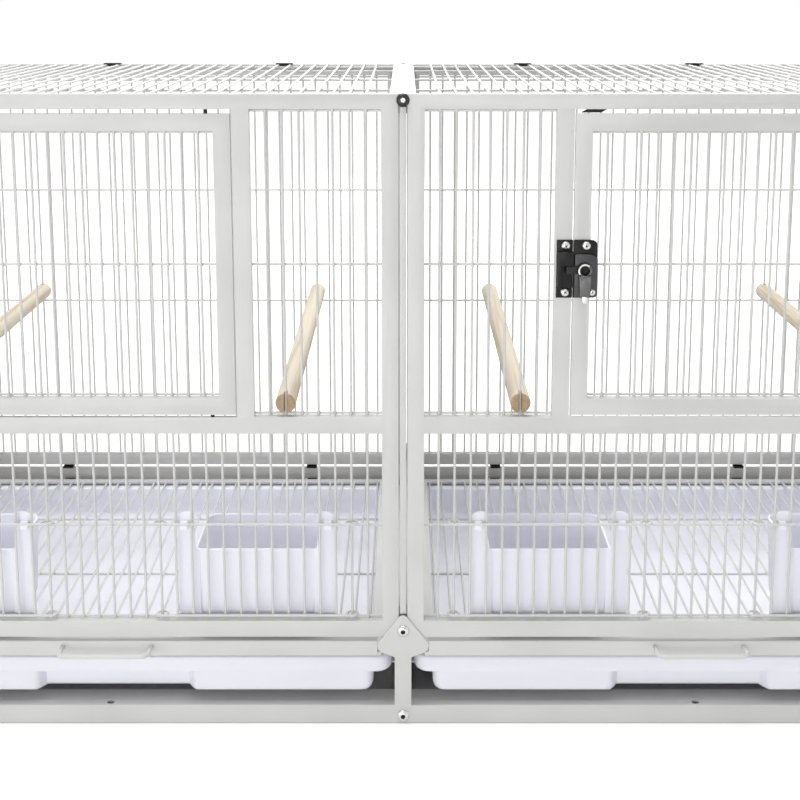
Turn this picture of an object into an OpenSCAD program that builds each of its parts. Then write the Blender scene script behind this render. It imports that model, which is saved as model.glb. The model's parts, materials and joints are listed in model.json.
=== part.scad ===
// Double breeding cage: two compartments side by side, millimetres, front towards -Y.
// Inside each half u runs outwards from the centre plane and t runs inwards from the front face.

/* [Cage] */
// Width over both compartments
cage_w = 950; // [900:1:1050]
// Depth from the front face to the rear face
cage_d = 420; // [340:1:520]
// Height from the floor to the roof
cage_h = 508; // [480:1:560]

/* [Frame] */
// Thickness of the painted strips
strip_t = 5; // [4.6:0.1:7]
// Height of the bottom and mid rails
rail_h = 13.4; // [11:0.1:16]
// Height of the top rails
top_rail_h = 11.3; // [10:0.1:14]
// Width of the stiles beside the doors
stile_w = 13.3; // [11:0.1:16]
// Width of the stiles at the centre of the cage
centre_stile_w = 13; // [11:0.1:16]
// Gap between the two halves, which the divider slides through
groove_w = 7; // [6.5:0.1:8]
// Width of the narrow wire panels beside each door
narrow_w = 99.2; // [90:0.1:110]
// Height of the lower wire opening
lower_open_h = 155.8; // [148:0.1:164]
// Gap between the base and the bottom rails
base_gap = 3.4; // [2.5:0.1:5]

/* [Wire] */
// Wire diameter
wire_d = 2; // [1.6:0.1:2.2]
// Distance between the wires
wire_pitch = 12.7; // [12:0.1:14]
// Least distance from a compartment's side to its first wire
grid_margin = 27; // [25:0.1:28]
// Width of the flat edge of each wire panel, which is fixed behind its frame
edge_w = 3; // [2:0.1:4]
// Thickness of that flat edge
edge_t = 3.1; // [3:0.1:4]
// Distance from a rail to the cross wire beside it
border_gap = 1.5; // [1.4:0.1:2.5]
// Height of the middle cross wires over the mid rail
mid_cross_rise = 120; // [90:1:150]
// Distance between the roof's cross wires
roof_cross_pitch = 131; // [100:1:160]

/* [Doors] */
// Gap down each side of a door
door_side_gap = 1; // [0.9:0.1:2]
// Gap under a door
door_low_gap = 2; // [1:0.1:3]
// Gap over a door
door_top_gap = 3.4; // [3:0.1:5]
// Width of the strips round a door
door_strip_w = 13; // [11:0.1:16]
// Distance of the hinge pins from the door's edge
hinge_inset = 18.3; // [15:0.1:24]
// Diameter of the hinge pins
pin_d = 3; // [2.4:0.1:3.2]
// Length of a pin inside the rail and inside the door
pin_reach = 6; // [4:0.1:8]

/* [Latches] */
// Height of the latch over the door's lower edge
latch_rise = 116; // [80:1:150]
// Height of the latch plates
latch_h = 45; // [40:1:56]
// Width of the latch plate on the door
latch_w = 17; // [15:0.1:19]
// Thickness of the latch plates
latch_plate_t = 1.2; // [1:0.1:2]
// Height that the latch case stands off its plate
latch_case_t = 2.8; // [2:0.1:4]
// Distance from the door's edge to the lever's pivot
lever_inset = 8; // [7:0.1:9]
// Length of the lever's handle below its pivot
lever_l = 22; // [18:0.1:28]
// Width of the lever's handle
lever_w = 9.5; // [7:0.1:11]
// Reach of the lever's tongue towards the strike
tongue_l = 14; // [12:0.1:16]
// Diameter of the screw heads on the latches
screw_d = 7; // [5:0.1:8]

/* [Feeders] */
// Height of the feeder openings up to their cross wire
feeder_h = 78.2; // [68:0.1:90]
// Wires from a compartment's side to a feeder opening's side
feeder_first = 1; // [1:1:2]
// Wire spaces across a feeder opening
feeder_spaces = 12; // [12:1:13]
// Distance from the front face to a gate's rods
gate_rod_t = 1.8; // [1.6:0.1:2]
// Height of a gate's bottom rod over the bottom rail
gate_low = 3.9; // [3.7:0.1:5]

/* [Cups] */
// Width of a cup
cup_w = 99; // [80:1:104]
// Depth of a cup from front to back
cup_d = 70; // [50:1:90]
// Height of a cup's bottom over the cage's lower edge
cup_rise = 3.6; // [1:0.1:8]
// Height of a cup's walls
cup_h = 67; // [50:1:72]
// Wall thickness of a cup
cup_wall = 2; // [1.5:0.1:3]
// Amount that a cup narrows towards its bottom, each side
cup_draft = 3; // [1:0.1:6]
// Width of the flange on each side of a cup
wing_w = 13.5; // [12.5:0.1:14]
// Height that the flanges stand over the cup's walls
wing_rise = 31; // [28:1:40]
// Width of the hooks on the flanges
hook_w = 6; // [4:0.1:7]

/* [Perches] */
// Diameter of the wooden perches
perch_d = 16; // [12:0.1:18]
// Number of the wire that a perch's slots go over
perch_wire = 5; // [2:1:6]
// Width of the slots in a perch's ends
perch_slot_w = 2.8; // [2.6:0.1:4]
// Depth of the slots in a perch's ends
perch_slot_l = 9; // [8.5:0.1:14]

/* [Base] */
// Height of the base's front rail
base_rail_h = 15; // [12:0.1:20]
// Depth of the flange behind the base's rails
base_flange_w = 22; // [16:0.1:30]
// Thickness of the base's sheet metal
sheet_t = 1.5; // [1:0.1:2]
// Height of the base's walls
base_h = 71; // [68:0.1:76]
// Half width of the centre post, and width of the corner posts
post_w = 6.7; // [5:0.1:8]
// Diameter of the holes in the base's flanges
foot_hole_d = 6; // [4:0.1:7]
// Distance of those holes from the base's faces
foot_hole_in = 6; // [5.5:0.1:10]
// Width of the shelves that carry the trays
shelf_w = 18; // [16:0.1:20]
// Width of the ledges that carry the grates
ledge_w = 23.5; // [22:0.1:23.8]

/* [Trays] */
// Depth of a tray's well under its rim
well_h = 15; // [12:0.1:20]
// Height of a tray's rim
rim_h = 13; // [10:0.1:16]
// Distance of a tray's rim from the centre plane
tray_inset = 9; // [8:0.1:11]
// Width of a tray's rim
rim_w = 15; // [13.5:0.1:18]
// Wall thickness of a tray
tray_wall = 2; // [1.5:0.1:3]
// Radius of a tray's corners
tray_r = 12; // [6:0.1:16]
// Width of the recess in the front of a tray
recess_w = 124; // [80:1:180]
// Depth of that recess
recess_d = 14; // [6:0.1:24]

/* [Grates] */
// Height of a grate's front strip
grate_strip_h = 12.5; // [10:0.1:12.6]
// Height that a grate's edge stands up behind that strip
strip_lap = 2.1; // [1.6:0.1:3]
// Thickness of a grate's front strip
grate_strip_t = 1.5; // [1:0.1:2]
// Distance of a grate's front strip from the centre plane
grate_strip_inset = 22; // [21.5:0.1:30]
// Distance of a grate's edge from the centre plane
grate_inset = 17.5; // [17:0.1:18]
// Width of the flat edge round a grate
grate_edge_w = 8; // [6:0.1:8.2]
// Distance from the front face to a grate's first cross wire
grate_cross_first = 27; // [14:0.5:40]
// Distance between a grate's cross wires
grate_cross_pitch = 135; // [90:1:180]
// Width of a handle between its legs
handle_w = 71; // [60:1:100]
// Diameter of the handles
handle_d = 3; // [2.4:0.1:4]
// Distance that the handles stand out from the front face
handle_reach = 20; // [16:1:30]

/* [Divider] */
// Thickness of the divider sheet
divider_t = 1.5; // [1:0.1:2]
// Width of the lip along the divider's front edge
divider_lip = 5; // [4:0.1:6]
// Depth of the rails' grooves that hold the divider
divider_slot = 5; // [3:0.1:7]

/* [Brackets] */
// Height of the centre bracket over the base's walls
gusset_rise = 22; // [20:0.1:25]
// Distance of the bracket's widest part below the top of those walls
gusset_drop = 4; // [1:0.1:5]
// Half width of the centre bracket
gusset_w = 20.5; // [18:0.1:21]
// Thickness of the centre bracket
gusset_t = 1.5; // [1:0.1:2]
// Diameter of the bolt heads
bolt_d = 9; // [8:0.1:11]
// Width of the roof clips
roof_clip_w = 17.5; // [12:0.1:24]
// Wires that the roof clips stand just outside of
roof_clip_wires = [7, 21]; // [1:1:32]
// Width of the base clips
base_clip_w = 11; // [8:0.1:16]
// Distance of the base clips from the centre plane
base_clip_x = [100, 365]; // [60:1:400]

/* [Hidden] */

PAINT = "WhiteSmoke";
PLASTIC = "Lavender";
PALE_WOOD = "BurlyWood";
BLACK = "DimGray";
CHROME = "Silver";

near = 0.3;    // clearance of a piece that rests or slides
weld = 0.02;   // gap between wires that are welded where they touch
fit = 0.05;    // clearance all round a turning pin
bite = 0.5;    // length of a wire inside the piece that holds its end
through = 1;   // excess length of a cut

// bolts
bolt_h = 2.6;
bolt_mid_rise = 9;         // height of the middle bolts over the base's walls
bolt_top_in = 4.6;         // distance of the top bolts below the roof
bolt_low_z = 6.3;
bolt_mid_z = base_h + bolt_mid_rise;
bolt_top_z = cage_h - bolt_top_in;
bolt_shank_d = 4;
bolt_hole_d = 4.2;

half_w = cage_w / 2;
// the cage with its handles and rear bolts is centred on the origin
front_y = -(cage_d - handle_reach + gusset_t + bolt_h) / 2;

// heights of the rails
rail_z = base_h + base_gap;
low_z0 = rail_z + rail_h;
low_z1 = low_z0 + lower_open_h;
up_z0 = low_z1 + rail_h;
up_z1 = cage_h - top_rail_h;
mid_cross_z = up_z0 + mid_cross_rise;
feeder_cross_z = low_z0 + feeder_h;
gusset_top = base_h + gusset_rise;
gusset_mid = base_h - gusset_drop;

// edges of the openings, measured from the centre plane
open_u0 = groove_w / 2 + centre_stile_w;
open_u1 = half_w - open_u0;
narrow_u1 = open_u0 + narrow_w;
frame_u0 = narrow_u1 + stile_w;
frame_u1 = half_w - frame_u0;

door_u0 = frame_u0 + door_side_gap;
door_u1 = frame_u1 - door_side_gap;
door_z0 = up_z0 + door_low_gap;
door_z1 = up_z1 - door_top_gap;
hinge_u = door_u1 - hinge_inset;

// the wires stand on one grid, centred in each half
wire_n = floor((half_w - 2 * grid_margin) / wire_pitch) + 1;
wire_u0 = (half_w - (wire_n - 1) * wire_pitch) / 2;
wire_c = wire_d / 2;                      // the wires' depth in their panel
cross_c = wire_c + wire_d + weld;         // the cross wires' depth in their panel
panel_t = cross_c + wire_d / 2;           // depth of a wire panel over its cross wires
mesh_t = strip_t + wire_c;                // depth of the front wires in the cage
cross_t = strip_t + cross_c;
low_cross_z = up_z0 + border_gap;
side_u = half_w - strip_t;
side_open_t = strip_t + stile_w;          // depth of the side openings' front edge

// feeders and cups
feeder_n = [feeder_first, feeder_first + feeder_spaces];
gate_ring_r = mesh_t - gate_rod_t;
gate_z0 = low_z0 + gate_low;
gate_z1 = feeder_cross_z + wire_d + weld + bite;
cup_t0 = strip_t + panel_t + near;
cup_z = rail_z + cup_rise;
cup_wing_top = cup_z + cup_h + wing_rise;
cup_slice_h = 0.1;
gate_bite = 0.1;                          // overlap of a gate's rods and wires
ring_gap = 60;                            // angle between the ends of a gate's loop

wing_end = cup_w / 2 + wing_w;
hook_t = 1.8;
hook_l = 5;                               // length of a hook's end in front of the cross wire
wing_low = 6;                             // height of the flanges' lower edge over the cup's bottom

// perches
perch_z = low_cross_z + wire_d / 2 + perch_d / 2 + near;
perch_end = 1.5;
perch_bevel = 1;
perch_len = cage_d - 2 * perch_end;

// radii of the bracket's top and side corners
gusset_r = 4;
gusset_side_r = 6;

// latch, measured from the door's free edge
strike_in = 1.3;                          // distance of the strike from the stile's edge
strike_u0 = narrow_u1 + strike_in;
strike_u1 = frame_u0 - near;
latch_in = 1;
latch_u0 = door_u0 + latch_in;
latch_z = door_z0 + latch_rise;
lever_u = door_u0 + lever_inset;
latch_z0 = latch_z - latch_h / 2;
latch_z1 = latch_z + latch_h / 2;
case_front = -latch_plate_t - latch_case_t;
case_in = 0.5;                            // distance of the case from the plate's edges
case_off = 2.5;                           // distance of the case from the door's side
case_rise = 10;                           // height of the case over the pivot
case_r = 5;
case_screw_in = 4.2;
case_screw = 0.75;                        // size of the case's screw to the plates'
tongue_h = 6;
tongue_t = 2.6;
hub_r = 6;
handle_out = 4.6;                         // distance of the handle's face in front of the tongue
lever_front = case_front - near - tongue_t - handle_out;
handle_t = 2.4;
lever_pin_r = 2.5;
keeper_wall = 2.4;
keeper_in = 0.7;
keeper_over = 1;
keeper_front = case_front - near - tongue_t - keeper_over;
keeper_h = 28;
screw_h = 2.2;
screw_in = 4.6;      // distance of the screws from the plates' ends
screw_off = 1;
buffer_in = 0.5;
buffer_gap = 0.8;
buffer_l = 15;
buffer_lean = 5;
buffer_off = 3.5;
buffer_u = door_u0 + buffer_off;

// base
ledge_t = 0.9;
grate_z1 = base_h - grate_strip_h + strip_lap;
grate_z0 = grate_z1 - edge_t;             // underside of a grate's edge
ledge_z = grate_z0 - near - ledge_t;
rim_top = ledge_z - near;
rim_z = rim_top - rim_h;
tray_z = rim_z - well_h;
shelf_z = rim_z - near;
grate_u1 = half_w - grate_inset;
runner_end = base_flange_w;
back_flange_t = cage_d - base_flange_w;
back_clear = 12;                          // space behind the trays and grates
handle_rise = 1.5;                        // height of a handle over its strip's middle
inner_d = cage_d - back_clear;
clip_t = 1.2;
clip_slot_drop = 15;
clip_slot_z = base_h - clip_slot_drop;
clip_slot_play = 0.4;
clip_leg_t = 1.7;
clip_tab = 1.6;
clip_leg_up = 2;                          // distance of a roof clip's leg over the opening
clip_hook_l = 8;
clip_over = 3;
clip_under = 1;

tray_front = 2;
rim_in = 3.5;                             // distance of a tray's front wall behind its rim

// divider
slot_w = divider_t + 2 * near;
divider_gap = 0.6;                        // gap to the brackets and the bolts
rail_gap = 0.2;
divider_front = 0.5;
divider_back = 1;
divider_z0 = gusset_top + divider_gap + near;
divider_z1 = bolt_top_z - bolt_d / 2 - divider_gap;
rail_w = groove_w - rail_gap;
roof_bar_w = 14;

function wire_u(i) = wire_u0 + i * wire_pitch;
function from_edge(i) = wire_n - 1 - i;
// the wires that pass between two edges
function wires_in(a, b) =
  [for (i = [0:wire_n - 1]) if (wire_u(i) > a + wire_d && wire_u(i) < b - wire_d) wire_u(i)];
// evenly spaced wires, centred between two edges
function even_wires(a, b) =
  let (n = floor((b - a - 2 * wire_d) / wire_pitch))
  [for (i = [0:n]) (a + b - n * wire_pitch) / 2 + i * wire_pitch];
function in_feeder(i) =
  (i > feeder_n[0] && i < feeder_n[1]) || (from_edge(i) > feeder_n[0] && from_edge(i) < feeder_n[1]);

// a half of the cage; the left half mirrors the right one
module half(left) translate([0, front_y, 0]) mirror([left ? 1 : 0, 0, 0]) children();
// a half whose pieces aren't mirrored, such as the doors
module bay(left) translate([left ? -half_w : 0, front_y, 0]) children();

// an outline in u and z, made into a plate whose depth starts at t
module plate(t, thick) translate([0, t + thick, 0]) rotate([90, 0, 0]) linear_extrude(thick) children();
// an outline in t and z, made into a plate centred on u
module plate_u(u, thick) translate([u - thick / 2, 0, 0]) rotate([90, 0, 90])
  linear_extrude(thick) children();
module span(u0, u1, z0, z1) translate([u0, z0]) square([u1 - u0, z1 - z0]);
module block(u0, u1, t0, t1, z0, z1) translate([u0, t0, z0]) cube([u1 - u0, t1 - t0, z1 - z0]);
module rod(h, d) cylinder(d = d, h = h, $fn = 16);
module rod_u(u0, u1, t, z, d) translate([u0, t, z]) rotate([0, 90, 0]) rod(u1 - u0, d);
module rod_t(u, t0, t1, z, d) translate([u, t0, z]) rotate([-90, 0, 0]) rod(t1 - t0, d);
module rod_z(u, t, z0, z1, d) translate([u, t, z0]) rod(z1 - z0, d);
// a round hole up through a flange
module foot_hole(x, t) translate([x, t, 0]) cylinder(d = foot_hole_d, h = base_rail_h + 1, $fn = 32);

// a flat edge round an opening, with the side of the panel at depth 0
module mesh_edge(u0, u1, z0, z1, w) plate(0, edge_t) difference() {
  span(u0 - w, u1 + w, z0 - w, z1 + w);
  span(u0, u1, z0, z1);
}
// wires across an opening, with their ends in the edge
module upright_wires(list, z0, z1) for (u = list) rod_z(u, wire_c, z0 - bite, z1 + bite, wire_d);
module cross_wires(list, u0, u1) for (z = list) rod_u(u0 - bite, u1 + bite, cross_c, z, wire_d);
module wire_panel(u0, u1, z0, z1, uprights, crosses, w = edge_w) {
  mesh_edge(u0, u1, z0, z1, w);
  upright_wires(uprights, z0, z1);
  cross_wires(crosses, u0, u1);
}
// cross wires beside both rails, with more between
function borders(z0, z1, more) = concat([z0 + border_gap], more, [z1 - border_gap]);
tall_crosses = borders(low_z0, up_z1, [low_cross_z, mid_cross_z]);

// ---- base ----
module base_front_rail() color(PAINT) translate([0, front_y, 0]) difference() {
  union() {
    block(-half_w, half_w, 0, sheet_t, 0, base_rail_h);
    block(sheet_t - half_w, half_w - sheet_t, 0, base_flange_w, base_rail_h - sheet_t, base_rail_h);
  }
  for (s = [-1, 1]) foot_hole(s * half_w / 2, foot_hole_in);
  rod_t(0, -through, sheet_t + through, bolt_low_z, bolt_hole_d);
}

module base_rear_wall() color(PAINT) translate([0, front_y, 0]) difference() {
  union() {
    block(-half_w, half_w, cage_d - sheet_t, cage_d, 0, base_h);
    block(sheet_t - half_w, half_w - sheet_t, back_flange_t, cage_d, base_rail_h - sheet_t, base_rail_h);
  }
  for (s = [-1, 1]) {
    foot_hole(s * half_w / 2, cage_d - foot_hole_in);
    for (x = base_clip_x) translate([s * x - base_clip_w / 2 - clip_slot_play, cage_d - 2 * sheet_t,
      clip_slot_z - clip_slot_play])
      cube([base_clip_w + 2 * clip_slot_play, 3 * sheet_t, clip_leg_t + 2 * clip_slot_play]);
  }
  rod_t(0, cage_d - sheet_t - through, cage_d + through, bolt_low_z, bolt_hole_d);
}

// shelf and ledge that a tray's rim and a grate's edge slide on, reaching out from u
module runners(u, dir) {
  span(min(u, dir * shelf_w + u), max(u, dir * shelf_w + u), shelf_z - sheet_t, shelf_z);
  span(min(u, dir * ledge_w + u), max(u, dir * ledge_w + u), ledge_z, ledge_z + ledge_t);
}
module base_side(left) color(PAINT) half(left) {
  plate(strip_t, cage_d - strip_t - sheet_t) span(half_w - sheet_t, half_w, 0, base_h);
  plate(runner_end, cage_d - 2 * runner_end) {
    span(half_w - sheet_t, half_w, 0, base_h);
    span(half_w - shelf_w, half_w, 0, sheet_t);
    runners(half_w, -1);
  }
}
module base_side_left() base_side(true);
module base_side_right() base_side(false);

module base_centre_wall() color(PAINT) translate([0, front_y, 0]) {
  plate(runner_end, cage_d - 2 * runner_end) {
    span(-sheet_t, sheet_t, 0, rail_z);
    span(-shelf_w / 2, shelf_w / 2, 0, sheet_t);
    for (s = [-1, 1]) runners(0, s);
  }
}

module base_post(u0, u1) for (t = [0, cage_d - sheet_t - strip_t])
  block(u0, u1, t, t + strip_t, base_rail_h, rail_z);
module base_posts() color(PAINT) {
  for (left = [true, false]) half(left) base_post(half_w - post_w, half_w - sheet_t);
  translate([0, front_y, 0]) base_post(-post_w, post_w);
}

// ---- frames ----
module front_frame(left) color(PAINT) difference() {
  half(left) plate(0, strip_t) difference() {
    span(groove_w / 2, half_w, rail_z, cage_h);
    span(open_u0, open_u1, low_z0, low_z1);
    span(open_u0, narrow_u1, up_z0, up_z1);
    span(half_w - narrow_u1, open_u1, up_z0, up_z1);
    span(frame_u0, frame_u1, up_z0, up_z1);
  }
  bay(left) for (z = [up_z0 - pin_reach - fit, up_z1 - fit])
    rod_z(hinge_u, strip_t / 2, z, z + pin_reach + 2 * fit, pin_d + 2 * fit);
}
module front_frame_left() front_frame(true);
module front_frame_right() front_frame(false);

module rear_frame(left) color(PAINT) half(left) plate(cage_d - strip_t, strip_t) difference() {
  span(groove_w / 2, half_w, rail_z, cage_h);
  span(open_u0, open_u1, low_z0, up_z1);
}
module rear_frame_left() rear_frame(true);
module rear_frame_right() rear_frame(false);

module side_frame(left) color(PAINT) half(left) plate_u(side_u + strip_t / 2, strip_t) difference() {
  span(strip_t, cage_d - strip_t, rail_z, cage_h);
  span(side_open_t, cage_d - side_open_t, low_z0, up_z1);
}
module side_frame_left() side_frame(true);
module side_frame_right() side_frame(false);

// ---- fixed wire panels ----
module narrow_mesh(left, outer) color(PAINT) half(left) translate([0, strip_t, 0]) {
  u0 = outer ? half_w - narrow_u1 : open_u0;
  u1 = u0 + narrow_w;
  wire_panel(u0, u1, up_z0, up_z1, wires_in(u0, u1), borders(up_z0, up_z1, [mid_cross_z]));
}
module narrow_mesh_left_outer() narrow_mesh(true, true);
module narrow_mesh_left_inner() narrow_mesh(true, false);
module narrow_mesh_right_inner() narrow_mesh(false, false);
module narrow_mesh_right_outer() narrow_mesh(false, true);

module lower_mesh(left) color(PAINT) half(left) translate([0, strip_t, 0]) {
  mesh_edge(open_u0, open_u1, low_z0, low_z1, edge_w);
  cross_wires(borders(low_z0, low_z1, [feeder_cross_z]), open_u0, open_u1);
  for (i = [0:wire_n - 1]) {
    foot = in_feeder(i) ? feeder_cross_z - wire_d / 2 : low_z0 - bite;
    rod_z(wire_u(i), wire_c, foot, low_z1 + bite, wire_d);
  }
}
module lower_mesh_left() lower_mesh(true);
module lower_mesh_right() lower_mesh(false);

module rear_mesh(left) color(PAINT) half(left) translate([0, cage_d - strip_t, 0]) mirror([0, 1, 0])
  wire_panel(open_u0, open_u1, low_z0, up_z1, wires_in(open_u0, open_u1), tall_crosses);
module rear_mesh_left() rear_mesh(true);
module rear_mesh_right() rear_mesh(false);

// the side panel's u runs along the cage's depth
module side_mesh(left) color(PAINT) half(left) translate([side_u, 0, 0]) rotate([0, 0, 90]) {
  t0 = side_open_t;
  t1 = cage_d - side_open_t;
  wire_panel(t0, t1, low_z0, up_z1, even_wires(t0, t1), tall_crosses);
}
module side_mesh_left() side_mesh(true);
module side_mesh_right() side_mesh(false);

// a roof or floor panel: z of the wire panel becomes the cage's depth
module lying(z) translate([0, 0, z]) rotate([-90, 0, 0]) children();
module roof_mesh(left) color(PAINT) half(left) lying(cage_h) {
  t0 = strip_t + edge_w;
  t1 = cage_d - strip_t - edge_w;
  u0 = roof_bar_w / 2 + edge_w;
  u1 = side_u - edge_w;
  more = [for (k = [-1, 0, 1]) (t0 + t1) / 2 + k * roof_cross_pitch];
  wire_panel(u0, u1, t0, t1, wires_in(u0, u1), borders(t0, t1, more));
}
module roof_mesh_left() roof_mesh(true);
module roof_mesh_right() roof_mesh(false);

// ---- fittings on the frame ----
// the roof bar and the sill hold the divider's edges
module divider_rails() color(PAINT) translate([0, front_y, 0]) plate(strip_t, cage_d - 2 * strip_t) {
  difference() {
    union() {
      span(-roof_bar_w / 2, roof_bar_w / 2, divider_z1 + near, cage_h);
      span(-rail_w / 2, rail_w / 2, divider_z1 - divider_slot, cage_h);
      span(-rail_w / 2, rail_w / 2, rail_z, divider_z0 + divider_slot);
    }
    span(-slot_w / 2, slot_w / 2, divider_z0 - near, divider_z1 + near);
  }
}

// a rounded diamond over a stem that reaches the base's rail
module gusset_outline() {
  hull() {
    translate([0, gusset_top - gusset_r]) circle(r = gusset_r, $fn = 32);
    for (s = [-1, 1]) translate([s * (gusset_w - gusset_side_r), gusset_mid])
      circle(r = gusset_side_r, $fn = 32);
    translate([0, gusset_mid - 2 * gusset_r]) circle(r = gusset_r, $fn = 32);
  }
  span(-post_w, post_w, base_rail_h, gusset_mid);
}
module gusset() difference() {
  plate(-gusset_t, gusset_t) gusset_outline();
  rod_t(0, -2 * gusset_t, gusset_t, bolt_mid_z, bolt_hole_d);
}
module gussets() color(PAINT) translate([0, front_y, 0]) {
  gusset();
  translate([0, cage_d, 0]) mirror([0, 1, 0]) gusset();
}

// a domed head with a hexagon socket, standing out from depth t
module bolt(u, t, z, d, h, shank) translate([u, t, z]) rotate([90, 0, 0]) difference() {
  union() {
    intersection() {
      translate([0, 0, h - dome_r(d, h)]) sphere(r = dome_r(d, h), $fn = 48);
      cylinder(d = d, h = h + 1, $fn = 48);
    }
    translate([0, 0, -shank]) cylinder(d = bolt_shank_d, h = shank + h / 2, $fn = 32);
  }
  translate([0, 0, h / 2]) cylinder(d = d / 3, h = h, $fn = 6);
}
function dome_r(d, h) = (d * d / 4 + h * h) / (2 * h);
module frame_bolts() color(CHROME) {
  for (rear = [0, 1]) translate([0, front_y + rear * cage_d, 0]) mirror([0, rear, 0]) {
    bolt(0, 0, bolt_top_z, bolt_d, bolt_h, strip_t);
    bolt(0, -gusset_t, bolt_mid_z, bolt_d, bolt_h, strip_t);
    bolt(0, 0, bolt_low_z, bolt_d, bolt_h, strip_t);
  }
  for (left = [true, false]) bay(left) for (z = [latch_z0 + screw_in, latch_z1 - screw_in])
    bolt((strike_u0 + strike_u1) / 2 + screw_off, -latch_plate_t, z, screw_d, screw_h, 0);
}

// clips over the roof's rear edge, and clips that tie the cage to its base
module rear_clips() color(BLACK) for (left = [true, false]) half(left) {
  back = cage_d - strip_t - edge_w;
  for (i = roof_clip_wires) {
    u = wire_u(i) + wire_pitch / 2;
    plate_u(u, roof_clip_w) {
      span(back - clip_tab, cage_d + clip_t, cage_h, cage_h + clip_t);
      span(cage_d, cage_d + clip_t, up_z1 + clip_leg_up, cage_h);
    }
    plate_u(u, wire_pitch - 2 * wire_d) span(back - clip_tab, back - near, cage_h - clip_tab, cage_h);
  }
  for (x = base_clip_x) plate_u(x, base_clip_w) {
    span(cage_d, cage_d + clip_t, clip_slot_z - clip_under, rail_z + clip_over);
    for (z = [clip_slot_z, base_h + near]) span(cage_d - clip_hook_l, cage_d, z, z + clip_leg_t);
  }
}

// the strike on the frame: a plate and a keeper that the tongue turns up into
module latch_strikes() color(BLACK) for (left = [true, false]) bay(left) {
  block(strike_u0, strike_u1, -latch_plate_t, 0, latch_z0, latch_z1);
  u0 = strike_u0 + keeper_in;
  z0 = latch_z - keeper_h / 2;
  z1 = latch_z + keeper_h / 2;
  block(u0, strike_u1, case_front, -latch_plate_t, z0, z1);
  block(u0, u0 + keeper_wall, keeper_front, -latch_plate_t, z0, z1);
  block(u0, strike_u1, keeper_front, -latch_plate_t, latch_z + tongue_h / 2 + near, z1);
}

// a buffer under the top rail, over the latch side of each door
module door_buffers() color(BLACK) for (left = [true, false]) bay(left)
  plate(buffer_in, strip_t - 2 * buffer_in) polygon([
    [buffer_u, door_z1 + buffer_gap],
    [buffer_u + buffer_l, door_z1 + buffer_gap],
    [buffer_u + buffer_l + buffer_lean, up_z1],
    [buffer_u + buffer_lean, up_z1]
  ]);

// ---- perches ----
// a round stick with a slot in each end that goes over a front and a rear wire
module perch(i) translate([wire_u(i), 0, perch_z]) difference() {
  translate([0, perch_end, 0]) rotate([-90, 0, 0]) rotate_extrude($fn = 48) polygon([
    [0, 0], [perch_d / 2 - perch_bevel, 0], [perch_d / 2, perch_bevel],
    [perch_d / 2, perch_len - perch_bevel], [perch_d / 2 - perch_bevel, perch_len], [0, perch_len]
  ]);
  for (t = [perch_end - through, perch_end + perch_len - perch_slot_l])
    block(-perch_slot_w / 2, perch_slot_w / 2, t, t + perch_slot_l + through, -perch_d, perch_d);
}
module perches(left) color(PALE_WOOD) half(left) {
  perch(perch_wire);
  perch(from_edge(perch_wire));
}
module perches_left() perches(true);
module perches_right() perches(false);

// ---- doors ----
module door_outline(inset) span(door_u0 + inset, door_u1 - inset, door_z0 + inset, door_z1 - inset);
module door_frame(left) color(PAINT) bay(left) difference() {
  plate(0, strip_t) difference() {
    door_outline(0);
    door_outline(door_strip_w);
  }
  for (z = [door_z0 - through, door_z1 - pin_reach])
    rod_z(hinge_u, strip_t / 2, z, z + pin_reach + through, pin_d + 2 * fit);
  rod_t(lever_u, -through, strip_t + through, latch_z, 2 * lever_pin_r + 2 * fit);
}
module door_frame_left() door_frame(true);
module door_frame_right() door_frame(false);

module door_mesh(left) color(PAINT) bay(left) translate([0, strip_t, 0]) {
  u0 = door_u0 + door_strip_w;
  u1 = door_u1 - door_strip_w;
  z0 = door_z0 + door_strip_w;
  z1 = door_z1 - door_strip_w;
  wire_panel(u0, u1, z0, z1, wires_in(u0, u1), borders(z0, z1, [mid_cross_z]));
}
module door_mesh_left() door_mesh(true);
module door_mesh_right() door_mesh(false);

module hinge_pins(left) color(BLACK) bay(left) {
  rod_z(hinge_u, strip_t / 2, up_z0 - pin_reach, door_z0 + pin_reach - 2 * through, pin_d);
  rod_z(hinge_u, strip_t / 2, door_z1 - pin_reach + through, up_z1 + pin_reach - 2 * fit, pin_d);
}
module hinge_pins_left() hinge_pins(true);
module hinge_pins_right() hinge_pins(false);

// the plate on the door and the case that carries the lever
module latch_plate(left) color(BLACK) bay(left) difference() {
  union() {
    block(latch_u0, latch_u0 + latch_w, -latch_plate_t, 0, latch_z0, latch_z1);
    plate(case_front, latch_case_t) case_outline();
  }
  rod_t(lever_u, case_front - through, through, latch_z, 2 * lever_pin_r + 2 * fit);
}
module case_outline() {
  r = case_r;
  u0 = latch_u0 + case_off;
  u1 = latch_u0 + latch_w - case_in;
  z0 = latch_z0 + case_in;
  z1 = latch_z + case_rise;
  span(u0, u1 - r, z0, z1);
  span(u1 - r - bite, u1, z0 + r, z1 - r);
  for (z = [z0 + r, z1 - r]) translate([u1 - r, z]) circle(r = r, $fn = 32);
}
module latch_plate_left() latch_plate(true);
module latch_plate_right() latch_plate(false);

module latch_screws(left) color(CHROME) bay(left) {
  bolt(latch_u0 + latch_w / 2, -latch_plate_t, latch_z1 - screw_in, screw_d, screw_h, 0);
  bolt(latch_u0 + latch_w - case_screw_in, case_front, latch_z0 + screw_in, screw_d * case_screw,
    screw_h, 0);
}
module latch_screws_left() latch_screws(true);
module latch_screws_right() latch_screws(false);

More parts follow.
